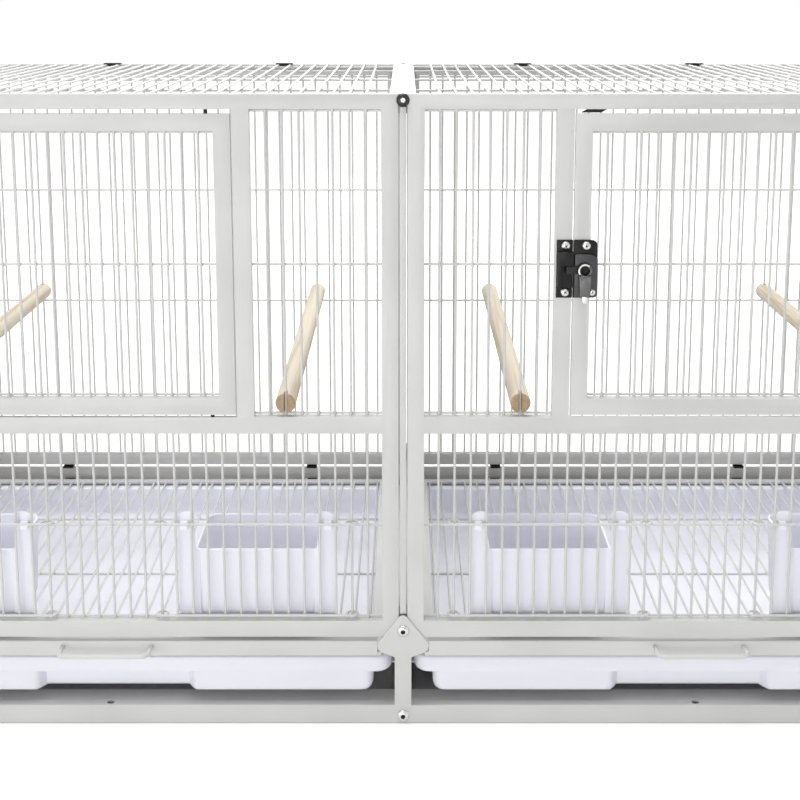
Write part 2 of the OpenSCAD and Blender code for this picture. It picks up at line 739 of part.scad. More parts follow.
// hub, tongue and handle turn together on a pin through the door's strip
module latch_lever(left) color(CHROME) bay(left) translate([lever_u, 0, latch_z]) {
  hub_t = case_front - near;
  rod_t(0, hub_t - bite, strip_t - bite, 0, 2 * lever_pin_r);
  disc(0, hub_r, hub_t - lever_front);
  block(-tongue_l, 0, hub_t - tongue_t, hub_t, -tongue_h / 2, tongue_h / 2);
  block(-lever_w / 2, lever_w / 2, lever_front, lever_front + handle_t, lever_w / 2 - lever_l, 0);
  disc(lever_w / 2 - lever_l, lever_w / 2, handle_t);
}
module disc(z, r, thick) translate([0, lever_front, z]) rotate([-90, 0, 0])
  cylinder(r = r, h = thick, $fn = 48);
module latch_lever_left() latch_lever(true);
module latch_lever_right() latch_lever(false);

// ---- feeder gates ----
// a wire loop round a fixed wire; turn is the angle at which it starts
module gate_ring(i, z, turn) translate([wire_u(i), mesh_t, z]) rotate([0, 0, turn])
  rotate_extrude(angle = 360 - ring_gap, $fn = 48) translate([gate_ring_r, 0]) circle(d = wire_d, $fn = 16);
module feeder_gate(left, outer) color(PAINT) half(left) {
  i0 = outer ? from_edge(feeder_n[1]) : feeder_n[0];
  i1 = outer ? from_edge(feeder_n[0]) : feeder_n[1];
  for (z = [gate_z0, gate_z1]) {
    rod_u(wire_u(i0) + weld, wire_u(i1) - weld, gate_rod_t, z, wire_d);
    gate_ring(i0, z, -ring_gap / 2);
    gate_ring(i1, z, -1.5 * ring_gap);
  }
  for (i = [i0 + 1:i1 - 1])
    rod_z(wire_u(i), gate_rod_t + wire_d - gate_bite, gate_z0 - wire_d / 2, gate_z1 + wire_d / 2, wire_d);
}
module feeder_gate_left_outer() feeder_gate(true, true);
module feeder_gate_left_inner() feeder_gate(true, false);
module feeder_gate_right_inner() feeder_gate(false, false);
module feeder_gate_right_outer() feeder_gate(false, true);

// ---- grates ----
module grate(left) color(PAINT) half(left) {
  u0 = grate_inset + grate_edge_w;
  u1 = grate_u1 - grate_edge_w;
  t0 = grate_strip_t + grate_edge_w;
  t1 = inner_d - grate_edge_w;
  crosses = [for (t = [grate_cross_first:grate_cross_pitch:t1 - wire_d]) t];
  lying(grate_z1) wire_panel(u0, u1, t0, t1, wires_in(u0, u1), crosses, grate_edge_w);
  block(grate_strip_inset, half_w - grate_strip_inset, 0, grate_strip_t, base_h - grate_strip_h, base_h);
}
module grate_left() grate(true);
module grate_right() grate(false);

// a bent wire that stands straight out of the grate's strip
module grate_handle(left) color(PAINT) half(left) {
  z = base_h - grate_strip_h / 2 + handle_rise;
  bend = 2 * handle_d;
  c = half_w / 2;
  out = handle_reach - handle_d / 2;
  for (s = [-1, 1]) {
    rod_t(c + s * handle_w / 2, bend - out, 0, z, handle_d);
    translate([c + s * (handle_w / 2 - bend), bend - out, z]) rotate([0, 0, s > 0 ? -90 : 180])
      rotate_extrude(angle = 90, $fn = 48) translate([bend, 0]) circle(d = handle_d, $fn = 24);
  }
  rod_u(c - handle_w / 2 + bend, c + handle_w / 2 - bend, -out, z, handle_d);
}
module grate_handle_left() grate_handle(true);
module grate_handle_right() grate_handle(false);

// ---- trays ----
module rounded(u0, u1, t0, t1, r) {
  span(u0 + r, u1 - r, t0, t1);
  span(u0, u1, t0 + r, t1 - r);
  for (u = [u0 + r, u1 - r]) for (t = [t0 + r, t1 - r]) translate([u, t]) circle(r = r, $fn = 48);
}
module tray_plan(inset) {
  u = tray_inset + inset;
  rounded(u, half_w - u, tray_front + inset, inner_d - inset, tray_r - inset);
}
module tray_recess(grow) translate([half_w / 2, tray_front]) polygon([
  [-recess_w / 2 - grow, 0], [recess_w / 2 + grow, 0],
  [recess_w / 2 + grow - recess_d / 2, rim_in + recess_d + grow],
  [recess_d / 2 - grow - recess_w / 2, rim_in + recess_d + grow]
]);
// the well's front wall stands just behind the rim, its other walls further in
module well_plan(inset) difference() {
  u = tray_inset + rim_w + inset;
  rounded(u, half_w - u, tray_front + rim_in + inset, inner_d - rim_w - inset, tray_r - inset);
  tray_recess(inset);
}
module tray(left) color(PLASTIC) half(left) difference() {
  union() {
    translate([0, 0, rim_z]) linear_extrude(rim_top - rim_z) tray_plan(0);
    translate([0, 0, tray_z]) linear_extrude(rim_z - tray_z + tray_wall) well_plan(0);
  }
  translate([0, 0, rim_z - 1]) linear_extrude(rim_top - rim_z - tray_wall + 1) difference() {
    tray_plan(tray_wall);
    well_plan(0);
  }
  translate([0, 0, tray_z + tray_wall]) linear_extrude(rim_top) well_plan(tray_wall);
}
module tray_left() tray(true);
module tray_right() tray(false);

// ---- divider ----
module divider() color(PAINT) translate([0, front_y, 0]) {
  block(-divider_t / 2, divider_t / 2, divider_front, cage_d - strip_t - divider_back, divider_z0,
    divider_z1);
  block(-divider_lip / 2, divider_lip / 2, divider_front, divider_front + divider_t, divider_z0, divider_z1);
}

// ---- cups ----
// a cup's body, narrower at its bottom, with its front face upright
module cup_solid(inset, z0, z1) hull() {
  cup_slice(inset, cup_draft, z0);
  cup_slice(inset, 0, z1);
}
module cup_slice(inset, draft, z) translate([inset + draft - cup_w / 2, inset, z])
  cube([cup_w - 2 * (inset + draft), cup_d - 2 * inset - draft, cup_slice_h]);
module cup(left, outer) color(PLASTIC) half(left) {
  i0 = outer ? from_edge(feeder_n[1]) : feeder_n[0];
  i1 = outer ? from_edge(feeder_n[0]) : feeder_n[1];
  translate([(wire_u(i0) + wire_u(i1)) / 2, cup_t0, 0]) {
    difference() {
      union() {
        cup_solid(0, cup_z, cup_z + cup_h - cup_slice_h);
        block(-wing_end, wing_end, 0, cup_wall, cup_z + wing_low, cup_z + cup_h);
      }
      cup_solid(cup_wall, cup_z + cup_wall, cup_z + cup_h + through);
    }
    for (s = [-1, 1]) {
      mirror([s < 0 ? 1 : 0, 0, 0]) block(cup_w / 2, wing_end, 0, cup_wall, cup_z + cup_h - through,
        cup_wing_top);
      cup_hook(s);
    }
  }
}
// a hook that reaches forward over the cross wire, between two upright wires
module cup_hook(s) {
  u = s * (floor(cup_w / 2 / wire_pitch) + 1.5) * wire_pitch;
  top = feeder_cross_z + wire_d / 2 + near;
  t1 = cross_t - wire_d / 2 - near - cup_t0;
  block(u - hook_w / 2, u + hook_w / 2, t1 - hook_t, bite, top, top + hook_t);
  block(u - hook_w / 2, u + hook_w / 2, t1 - hook_t, t1, top - hook_l, top + hook_t);
}
module cup_left_outer() cup(true, true);
module cup_left_inner() cup(true, false);
module cup_right_inner() cup(false, false);
module cup_right_outer() cup(false, true);

base_front_rail();
base_rear_wall();
base_side_left();
base_side_right();
base_centre_wall();
base_posts();
front_frame_left();
front_frame_right();
rear_frame_left();
rear_frame_right();
side_frame_left();
side_frame_right();
narrow_mesh_left_outer();
narrow_mesh_left_inner();
narrow_mesh_right_inner();
narrow_mesh_right_outer();
lower_mesh_left();
lower_mesh_right();
rear_mesh_left();
rear_mesh_right();
side_mesh_left();
side_mesh_right();
roof_mesh_left();
roof_mesh_right();
divider_rails();
gussets();
frame_bolts();
rear_clips();
latch_strikes();
door_buffers();
perches_left();
perches_right();
door_frame_left();
door_frame_right();
door_mesh_left();
door_mesh_right();
hinge_pins_left();
hinge_pins_right();
latch_plate_left();
latch_plate_right();
latch_screws_left();
latch_screws_right();
latch_lever_left();
latch_lever_right();
feeder_gate_left_outer();
feeder_gate_left_inner();
feeder_gate_right_inner();
feeder_gate_right_outer();
grate_left();
grate_right();
grate_handle_left();
grate_handle_right();
tray_left();
tray_right();
divider();
cup_left_outer();
cup_left_inner();
cup_right_inner();
cup_right_outer();
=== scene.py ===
import json
import math

import bmesh
import bpy
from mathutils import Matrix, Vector
from mathutils.bvhtree import BVHTree

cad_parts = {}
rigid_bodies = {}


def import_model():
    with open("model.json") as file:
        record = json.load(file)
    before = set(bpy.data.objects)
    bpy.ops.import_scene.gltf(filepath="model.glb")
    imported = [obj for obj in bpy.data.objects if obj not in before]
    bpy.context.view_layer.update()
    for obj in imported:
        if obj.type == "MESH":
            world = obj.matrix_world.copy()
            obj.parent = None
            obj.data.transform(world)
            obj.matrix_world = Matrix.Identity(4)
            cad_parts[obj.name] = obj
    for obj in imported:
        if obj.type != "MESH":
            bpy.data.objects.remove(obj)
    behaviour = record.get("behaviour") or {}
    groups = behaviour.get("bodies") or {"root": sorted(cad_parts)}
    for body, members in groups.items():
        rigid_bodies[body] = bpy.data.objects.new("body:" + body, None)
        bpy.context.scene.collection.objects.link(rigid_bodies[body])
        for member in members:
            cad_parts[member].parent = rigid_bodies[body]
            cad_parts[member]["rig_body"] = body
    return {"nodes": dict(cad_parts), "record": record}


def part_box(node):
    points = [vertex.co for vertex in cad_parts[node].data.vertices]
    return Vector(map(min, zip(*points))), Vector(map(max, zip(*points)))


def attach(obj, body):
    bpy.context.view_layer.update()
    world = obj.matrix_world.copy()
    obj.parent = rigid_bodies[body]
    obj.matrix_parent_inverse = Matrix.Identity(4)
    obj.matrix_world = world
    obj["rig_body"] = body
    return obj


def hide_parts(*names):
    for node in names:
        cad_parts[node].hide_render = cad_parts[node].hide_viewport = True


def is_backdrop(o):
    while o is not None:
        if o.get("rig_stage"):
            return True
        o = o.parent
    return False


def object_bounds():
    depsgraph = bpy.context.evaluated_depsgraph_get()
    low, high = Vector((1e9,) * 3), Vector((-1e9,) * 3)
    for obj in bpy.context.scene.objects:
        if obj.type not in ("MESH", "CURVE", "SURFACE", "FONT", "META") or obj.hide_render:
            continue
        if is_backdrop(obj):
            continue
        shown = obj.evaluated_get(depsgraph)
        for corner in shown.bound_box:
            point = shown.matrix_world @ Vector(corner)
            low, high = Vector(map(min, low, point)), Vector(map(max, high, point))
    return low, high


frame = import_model()
nodes = frame["nodes"]
slots = {row["node"]: row["material_slot"] for row in frame["record"]["subparts"]}
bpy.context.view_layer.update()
sides = ("left", "right")

# millimetres: u runs out from the centre plane, t in from the front face, z up
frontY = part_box("front_frame_right")[0].y * 1000
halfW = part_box("front_frame_right")[1].x * 1000
cageD = (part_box("rear_frame_right")[1].y * 1000) - frontY
wires = {"first": 27.95, "pitch": 12.7, "count": 34}


def wireU(i):
    return wires["first"] + i * wires["pitch"]


# the left half mirrors the right one, but its door bay is the right one's moved over
def world(u, t, z, left=False, bay=False):
    x = (u - halfW if bay else -u) if left else u
    return Vector((x, frontY + t, z)) / 1000


# ---- shader helpers ----
def startMaterial(name, roughness, metallic=0.0):
    mat = bpy.data.materials.new(name)
    mat.use_nodes = True
    tree = mat.node_tree
    shader = tree.nodes["Principled BSDF"]
    shader.inputs["Roughness"].default_value = roughness
    shader.inputs["Metallic"].default_value = metallic
    coords = tree.nodes.new("ShaderNodeTexCoord")
    return mat, tree, shader, coords.outputs["Object"]


def noise(tree, vector, scale, detail=3.0, stretch=None):
    if stretch:
        mapping = tree.nodes.new("ShaderNodeMapping")
        mapping.inputs["Scale"].default_value = stretch
        tree.links.new(vector, mapping.inputs["Vector"])
        vector = mapping.outputs["Vector"]
    tex = tree.nodes.new("ShaderNodeTexNoise")
    tex.inputs["Scale"].default_value = scale
    tex.inputs["Detail"].default_value = detail
    tree.links.new(vector, tex.inputs["Vector"])
    return tex.outputs["Fac"]


def ramp(tree, value, stops):
    node = tree.nodes.new("ShaderNodeValToRGB")
    ends = node.color_ramp.elements
    for k, (place, colour) in enumerate(stops):
        stop = ends[k] if k < 2 else ends.new(place)
        stop.position = place
        stop.color = (*colour, 1.0)
    tree.links.new(value, node.inputs["Fac"])
    return node.outputs["Color"]


def maths(tree, operation, first, second=None):
    node = tree.nodes.new("ShaderNodeMath")
    node.operation = operation
    for k, value in enumerate((first, second)):
        if isinstance(value, (int, float)):
            node.inputs[k].default_value = value
        elif value is not None:
            tree.links.new(value, node.inputs[k])
    return node.outputs[0]


def remap(tree, value, low, high, start=0.0, end=1.0):
    node = tree.nodes.new("ShaderNodeMapRange")
    node.inputs["From Min"].default_value = start
    node.inputs["From Max"].default_value = end
    node.inputs["To Min"].default_value = low
    node.inputs["To Max"].default_value = high
    tree.links.new(value, node.inputs["Value"])
    return node.outputs["Result"]


def splitXYZ(tree, vector):
    parts = tree.nodes.new("ShaderNodeSeparateXYZ")
    tree.links.new(vector, parts.inputs[0])
    return parts.outputs


def bump(tree, shader, value, strength, distance):
    node = tree.nodes.new("ShaderNodeBump")
    node.inputs["Strength"].default_value = strength
    node.inputs["Distance"].default_value = distance
    tree.links.new(value, node.inputs["Height"])
    tree.links.new(node.outputs["Normal"], shader.inputs["Normal"])


# ---- materials ----
# slow and grain: a noise's scale and detail; tones: places in the slow noise and factors on the colour;
# patch: scale of the patches of gloss; gloss: how much less and more roughness they have
paint = {"colour": (0.68, 0.68, 0.665), "roughness": 0.42, "slow": (14.0, 2.0),
         "tones": ((0.35, 0.965), (0.65, 1.03)), "grain": (900.0, 1.0), "bump": 0.12, "depth": 0.0002,
         "patch": 60.0, "gloss": (0.05, 0.06), "coat": 0.15, "coatRoughness": 0.25}
plastic = {"colour": (0.90, 0.90, 0.985), "roughness": 0.34, "slow": (9.0, 2.0),
           "tones": ((0.3, 0.98), (0.7, 1.02)), "grain": (1400.0, 1.0), "bump": 0.06, "depth": 0.0001,
           "patch": 40.0, "gloss": (0.04, 0.05), "scatter": 0.15, "scatterDepth": (0.004, 0.004, 0.005)}
metal = {"slow": (160.0, 4.0), "tones": ((0.3, 0.86), (0.7, 1.08)), "grain": (1100.0, 2.0), "bump": 0.08,
         "depth": 0.0001, "patch": 320.0, "gloss": (0.06, 0.1)}
# grain and bands are stretched along the stick; the ends' colour comes in over the last millimetres
wood = {"roughness": 0.6, "grain": (420.0, 9.0, 420.0), "grainDetail": 6.0, "bands": (90.0, 3.5, 90.0),
        "side": ((0.36, (0.56, 0.45, 0.31)), (0.62, (0.76, 0.69, 0.56)), (0.48, (0.71, 0.63, 0.49))),
        "end": ((0.36, (0.30, 0.19, 0.10)), (0.60, (0.46, 0.33, 0.20))), "endFrom": 3.0, "endTo": 1.7,
        "bump": 0.25, "depth": 0.0004, "gloss": (0.52, 0.68)}


# a slow change of tone, patches of gloss and a fine grain
def addSurface(tree, shader, at, colour, roughness, look):
    stops = [(place, tuple(min(1.0, c * k) for c in colour)) for place, k in look["tones"]]
    tree.links.new(ramp(tree, noise(tree, at, *look["slow"]), stops), shader.inputs["Base Color"])
    bump(tree, shader, noise(tree, at, *look["grain"]), look["bump"], look["depth"])
    less, more = look["gloss"]
    patches = remap(tree, noise(tree, at, look["patch"]), roughness - less, roughness + more)
    tree.links.new(patches, shader.inputs["Roughness"])


# powder coat, whose grain is its orange peel
def paintMaterial(name, look):
    mat, tree, shader, at = startMaterial(name, look["roughness"])
    addSurface(tree, shader, at, look["colour"], look["roughness"], look)
    shader.inputs["Coat Weight"].default_value = look["coat"]
    shader.inputs["Coat Roughness"].default_value = look["coatRoughness"]
    return mat


# moulded plastic, which lets a little light through
def plasticMaterial(name, look):
    mat, tree, shader, at = startMaterial(name, look["roughness"])
    addSurface(tree, shader, at, look["colour"], look["roughness"], look)
    shader.inputs["Subsurface Weight"].default_value = look["scatter"]
    shader.inputs["Subsurface Radius"].default_value = look["scatterDepth"]
    return mat


# turned hardwood with its grain along the stick and browner cut ends
def woodMaterial(name, look):
    mat, tree, shader, at = startMaterial(name, look["roughness"])
    grain = noise(tree, at, 1.0, look["grainDetail"], look["grain"])
    bands = noise(tree, at, 1.0, stretch=look["bands"])
    figure = maths(tree, "MULTIPLY", maths(tree, "ADD", grain, bands), 0.5)
    middle = (frontY + cageD / 2) / 1000
    fromMiddle = maths(tree, "ABSOLUTE", maths(tree, "SUBTRACT", splitXYZ(tree, at)["Y"], middle))
    start, end = ((cageD / 2 - look[key]) / 1000 for key in ("endFrom", "endTo"))
    isEnd = remap(tree, fromMiddle, 0.0, 1.0, start, end)
    blend = tree.nodes.new("ShaderNodeMix")
    blend.data_type = "RGBA"
    tree.links.new(isEnd, blend.inputs["Factor"])
    tree.links.new(ramp(tree, figure, look["side"]), blend.inputs["A"])
    tree.links.new(ramp(tree, figure, look["end"]), blend.inputs["B"])
    tree.links.new(blend.outputs["Result"], shader.inputs["Base Color"])
    bump(tree, shader, grain, look["bump"], look["depth"])
    tree.links.new(remap(tree, bands, *look["gloss"]), shader.inputs["Roughness"])
    return mat


def metalMaterial(name, colour, roughness, metallic, specular=0.5):
    mat, tree, shader, at = startMaterial(name, roughness, metallic)
    shader.inputs["Specular IOR Level"].default_value = specular
    addSurface(tree, shader, at, colour, roughness, metal)
    return mat


materials = {
    "cream_paint": paintMaterial("powderCoat", paint),
    "white_plastic": plasticMaterial("mouldedPlastic", plastic),
    "pale_wood": woodMaterial("paleWood", wood),
    "black_metal": metalMaterial("blackPaint", (0.009, 0.009, 0.010), 0.34, 0.0, 0.22),
    "bright_steel": metalMaterial("brightSteel", (0.62, 0.62, 0.60), 0.26, 1.0),
}
brightSteel = materials["bright_steel"]
darkZinc = metalMaterial("darkZinc", (0.062, 0.062, 0.064), 0.34, 1.0)
leverZinc = metalMaterial("leverZinc", (0.115, 0.115, 0.115), 0.32, 1.0)
darkSteel = metalMaterial("dullSteel", (0.05, 0.05, 0.05), 0.38, 1.0)
# black that is painted shade in the screws' recesses and the lever's hub hole, and the tongue's own black
blackAndRecessShade = metalMaterial("darkRecess", (0.012, 0.012, 0.012), 0.7, 0.0)
for name, obj in nodes.items():
    obj.data.materials.clear()
    obj.data.materials.append(materials[slots[name]])
print("materials done")


# ---- mesh helpers ----
# merge is in metres, flat and bentEdge in degrees, pieceEdge in radians
edgeRules = {"merge": 1e-6, "flat": 1.0, "bentEdge": 40, "pieceEdge": 0.6}


def makeObject(name, bm, body, slot, mats=None, angle=35.0):
    bmesh.ops.recalc_face_normals(bm, faces=bm.faces)
    mesh = bpy.data.meshes.new(name)
    bm.to_mesh(mesh)
    bm.free()
    obj = bpy.data.objects.new(name, mesh)
    bpy.context.scene.collection.objects.link(obj)
    for mat in mats or [materials[slot]]:
        mesh.materials.append(mat)
    mesh.polygons.foreach_set("use_smooth", [True] * len(mesh.polygons))
    mesh.set_sharp_from_angle(angle=math.radians(angle))
    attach(obj, body)
    return obj


# joins rings of equal length with quads, and fills the first and the last unless they join each other
def loft(bm, rings, closed=False):
    made = [[bm.verts.new(p) for p in ring] for ring in rings]
    pairs = list(zip(made, made[1:])) + ([(made[-1], made[0])] if closed else [])
    for a, b in pairs:
        n = len(a)
        for k in range(n):
            bm.faces.new((a[k], a[(k + 1) % n], b[(k + 1) % n], b[k]))
    if not closed:
        bm.faces.new(list(reversed(made[0])))
        bm.faces.new(made[-1])


def roundEdges(bm, edges, radius, segments, clamp=True):
    bmesh.ops.bevel(bm, geom=edges, offset=radius / 1000, segments=segments, profile=0.5, affect="EDGES",
                    clamp_overlap=clamp)


# a closed outline of (p, q) pushed along a third axis, with its edges rounded; place turns the three into a point
def extrude(bm, outline, place, low, high, radius=0.0, segments=2):
    verts = [bm.verts.new(place(p, q, low)) for p, q in outline]
    face = bm.faces.new(verts)
    out = bmesh.ops.extrude_face_region(bm, geom=[face])
    moved = [v for v in out["geom"] if isinstance(v, bmesh.types.BMVert)]
    bmesh.ops.translate(bm, verts=moved, vec=place(0, 0, high) - place(0, 0, low))
    if radius > 0:
        part = set(verts) | set(moved)
        edges = [e for e in bm.edges if e.verts[0] in part and e.verts[1] in part]
        edges = [e for e in edges if len(e.link_faces) == 2 and e.calc_face_angle(0) > edgeRules["pieceEdge"]]
        roundEdges(bm, edges, radius, segments)


def arc(cx, cy, r, a0, a1, n):
    return [(cx + r * math.cos(math.radians(a0 + (a1 - a0) * k / n)),
             cy + r * math.sin(math.radians(a0 + (a1 - a0) * k / n))) for k in range(n + 1)]


# a CAD node's mesh with its doubles merged, and the triangles of its flat faces too
def copyNode(node, flat=False):
    bm = bmesh.new()
    bm.from_mesh(nodes[node].data)
    bmesh.ops.remove_doubles(bm, verts=bm.verts, dist=edgeRules["merge"])
    if flat:
        bmesh.ops.dissolve_limit(bm, angle_limit=math.radians(edgeRules["flat"]), verts=bm.verts, edges=bm.edges)
    return bm


def camel(name):
    first, *rest = name.split("_")
    return first + "".join(word.capitalize() for word in rest)


# a copy of a CAD node with its edges broken, as bent and painted steel has them
def softEdges(node, radius):
    bm = copyNode(node, flat=True)
    least = math.radians(edgeRules["bentEdge"])
    edges = [e for e in bm.edges if len(e.link_faces) == 2 and e.calc_face_angle(0) > least]
    roundEdges(bm, edges, radius, 2)
    obj = makeObject(camel(node) + "Coat", bm, nodes[node]["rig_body"], slots[node])
    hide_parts(node)
    return obj


# ---- frames and base ----
sideRadius = {"front_frame": 0.7, "rear_frame": 0.7, "side_frame": 0.7, "door_frame": 0.7, "base_side": 0.3}
sharedRadius = {"base_rear_wall": 0.3, "base_centre_wall": 0.3, "base_posts": 0.45, "gussets": 0.4,
                "rear_clips": 0.25, "door_buffers": 0.6, "divider": 0.3, "divider_rails": 0.4}
for side in sides:
    for kind, radius in sideRadius.items():
        softEdges(f"{kind}_{side}", radius)
for node, radius in sharedRadius.items():
    softEdges(node, radius)

# the base's front rail: bent with a full radius, and its flange reaches back under the trays
baseRail = {"bend": 2.6, "sheet": 1.5, "flange": 27, "segments": 6}
samePlace = 1e-5      # metres
bm = copyNode("base_front_rail", flat=True)
low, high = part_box("base_front_rail")
for v in bm.verts:
    if v.co.y > high.y - samePlace:
        v.co.y = (frontY + baseRail["flange"]) / 1000
sheet = baseRail["sheet"] / 1000
for y, z, radius in ((low.y, high.z, baseRail["bend"]),
                     (low.y + sheet, high.z - sheet, baseRail["bend"] - baseRail["sheet"])):
    bend = [e for e in bm.edges
            if all(abs(v.co.y - y) < samePlace and abs(v.co.z - z) < samePlace for v in e.verts)]
    roundEdges(bm, bend, radius, baseRail["segments"], clamp=False)
obj = makeObject("baseFrontRailBent", bm, nodes["base_front_rail"]["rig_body"], "cream_paint")
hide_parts("base_front_rail")

# each grate's front strip is one sheet with a fold along its top; the rest of the grate keeps the CAD's shape
strip = {"end": 20.8, "low": 58.5, "top": 71.0, "sheet": 1.5, "fold": 12, "bend": 2.0, "edge": 0.3, "apart": 0.01}
handle = {"thicker": 0.3}


def addGrateGrid(side):
    bm = copyNode(f"grate_{side}")
    cut = Vector((0, (frontY + strip["sheet"] + strip["apart"]) / 1000, 0))
    bmesh.ops.bisect_plane(bm, geom=list(bm.verts) + list(bm.edges) + list(bm.faces), plane_co=cut,
                           plane_no=(0, 1, 0), clear_inner=True)
    bmesh.ops.holes_fill(bm, edges=[e for e in bm.edges if e.is_boundary])
    obj = makeObject(f"{side}GrateGrid", bm, f"grate_{side}", "cream_paint")
    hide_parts(f"grate_{side}")


def addGrateStrip(side):
    bm = bmesh.new()
    z0, z1, t, r, edge = (strip[key] for key in ("low", "top", "sheet", "bend", "edge"))
    outline = [(t, z0 + edge), (t - edge, z0), (edge, z0), (0, z0 + edge)]
    outline += list(reversed(arc(r, z1 - r, r, 90, 180, 6)))
    outline += [(strip["fold"], z1), (strip["fold"], z1 - t)] + arc(r, z1 - r, r - t, 90, 180, 3)
    extrude(bm, outline, lambda p, q, x: world(x, p, q, side == "left"), strip["end"], halfW - strip["end"])
    makeObject(f"{side}GrateStrip", bm, f"grate_{side}", "cream_paint")


# thicker wire, which comes no further out than the CAD's
def addGrateHandle(side):
    bm = copyNode(f"grate_handle_{side}")
    bmesh.ops.recalc_face_normals(bm, faces=bm.faces)
    bm.normal_update()
    for v in bm.verts:
        v.co += v.normal * handle["thicker"] / 1000 + Vector((0, handle["thicker"] / 1000, 0))
    obj = makeObject(f"{side}GrateHandleBar", bm, f"grate_{side}", "cream_paint", angle=60)
    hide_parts(f"grate_handle_{side}")


for side in sides:
    addGrateGrid(side)
    addGrateStrip(side)
    addGrateHandle(side)
print("frames done")


# ---- trays ----
tray = {"inset": 9, "front": 2, "back": 408, "low": 25, "rim": 15, "rimFront": 2.5, "radius": 12, "leastRadius": 2.5,
        "taper": 0.3, "recessW": 129, "recessU": -5, "recessD": 10, "slope": 7, "beside": 4, "steps": 80,
        # inwards from the wall at the sides and in front, and up from the bottom
        "foot": ((9, 5, 0), (5.5, 3, 0.1), (3, 1.4, 1.0), (1.2, 0.5, 3.0), (0.3, 0.1, 6), (0, 0, 9)),
        # from the wall, height, and how much of the recess, under the rim and over it
        "under": ((0, 0, 44.3, 1), (-1, -0.1, 44.6, 0.6)), "over": ((0, 0.9, 56, 0.97),),
        # inset at the sides and in front, and height, round the rolled rim
        "roll": ((4.6, 2.2, 44.0), (3.2, 1.8, 43.3), (2.0, 1.3, 43.0), (0.9, 0.7, 43.9), (0.25, 0.2, 45.8),
                 (0, 0, 48.2), (0.1, 0.1, 51.5), (0.5, 0.4, 54.2), (1.2, 0.9, 55.5), (2.4, 1.8, 56)),
        # inwards from the wall at the sides and in front, and height
        "inside": ((1.2, 1.4, 55.7), (2, 2, 54.6), (2.4, 2.2, 40), (2.8, 2.6, 31), (4, 3.6, 28.6),
                   (6.5, 5.5, 27.3), (10, 9, 27))}


# one ring round a tray at a side inset, a front inset and a height; dip is how much of the front recess it takes
def trayRing(left, side, front, z, dip):
    u0, u1 = tray["inset"] + side, halfW - tray["inset"] - side
    t0, t1 = tray["front"] + front, tray["back"] - side
    r = max(tray["leastRadius"], tray["radius"] - side * tray["taper"])
    mid, wide = halfW / 2 + tray["recessU"], tray["recessW"] / 2
    reach = wide + tray["beside"]
    points = []
    for k in range(tray["steps"] + 1):
        s = k / (tray["steps"] / 2) - 1
        if abs(s) <= 0.5:      # half of the points stand in and beside the recess
            u = mid + s * 2 * reach
        else:
            edge = mid + math.copysign(reach, s)
            end = u1 - r if s > 0 else u0 + r
            u = edge + (abs(s) - 0.5) * 2 * (end - edge)
        w = min(1.0, max(0.0, (wide - abs(u - mid)) / tray["slope"]))
        points.append((u, t0 + dip * tray["recessD"] * w * w * (3 - 2 * w)))
    points += arc(u1 - r, t0 + r, r, -90, 0, 8)[1:]
    points += arc(u1 - r, t1 - r, r, 0, 90, 8)
    points += arc(u0 + r, t1 - r, r, 90, 180, 8)
    points += arc(u0 + r, t0 + r, r, 180, 270, 8)[:-1]
    return [world(u, t, z, left) for u, t in points]


def traySteps():
    rim, f, low = tray["rim"], tray["rimFront"], tray["low"]
    steps = [(rim + a, f + b, low + z, 1) for a, b, z in tray["foot"]]
    steps += [(rim + a, f + b, z, dip) for a, b, z, dip in tray["under"]]
    steps += [(a, b, z, 0) for a, b, z in tray["roll"]]
    steps += [(rim + a, f + b, z, dip) for a, b, z, dip in tray["over"]]
    return steps + [(rim + a, f + b, z, 1) for a, b, z in tray["inside"]]


for side in sides:
    bm = bmesh.new()
    loft(bm, [trayRing(side == "left", *step) for step in traySteps()])
    obj = makeObject(f"{side}TrayShell", bm, f"tray_{side}", "white_plastic", angle=50)
    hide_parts(f"tray_{side}")
print("trays done")


# ---- cups ----
cup = {"w": 99, "d": 78, "low": 78, "h": 67, "wall": 2, "draft": 3, "radius": 9, "frontWall": 0.6,
       "frontCorner": 0.35, "wires": {"inner": 7, "outer": 26},
       # (inset, height, corner) from the drafted wall's foot, from the top edge, and from the foot inside
       "foot": ((6, 0, -4), (2.4, 0.5, -2), (0.8, 1.8, -1), (0, 4.5, 0)),
       "lip": ((0.2, -3, 1), (0, -1.2, 1), (0.35, -0.3, 1), (1.0, 0, 0), (1.7, -0.3, 0)),
       "inside": ((0, 9, -1), (0.8, 5.4, -1), (2.8, 3, -2), (6, 2, -4))}
wing = {"w": 13.5, "rise": 31, "outer": 7, "inner": 3, "under": 6, "overlap": 4, "soft": 0.5}
hook = {"w": 6, "t": 1.8, "reach": 4.4, "low": 162.3, "top": 167.3, "front": -2.6, "root": 0.6, "bend": 2,
        "pitches": 4.5, "soft": 0.3}
cupFront = (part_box("cup_right_inner")[0].y * 1000 - frontY) + hook["reach"]


def cupRing(centre, left, inset, z, corner):
    half, d = cup["w"] / 2 - inset, cup["d"]
    t0 = cupFront + min(inset, cup["wall"] + cup["frontWall"])
    t1 = cupFront + d - inset
    rf, rb = max(0.8, corner * cup["frontCorner"]), max(1.0, corner)
    points = arc(centre + half - rf, t0 + rf, rf, -90, 0, 6)
    points += arc(centre + half - rb, t1 - rb, rb, 0, 90, 8)
    points += arc(centre - half + rb, t1 - rb, rb, 90, 180, 8)
    points += arc(centre - half + rf, t0 + rf, rf, 180, 270, 6)
    return [world(u, t, z, left) for u, t in points]


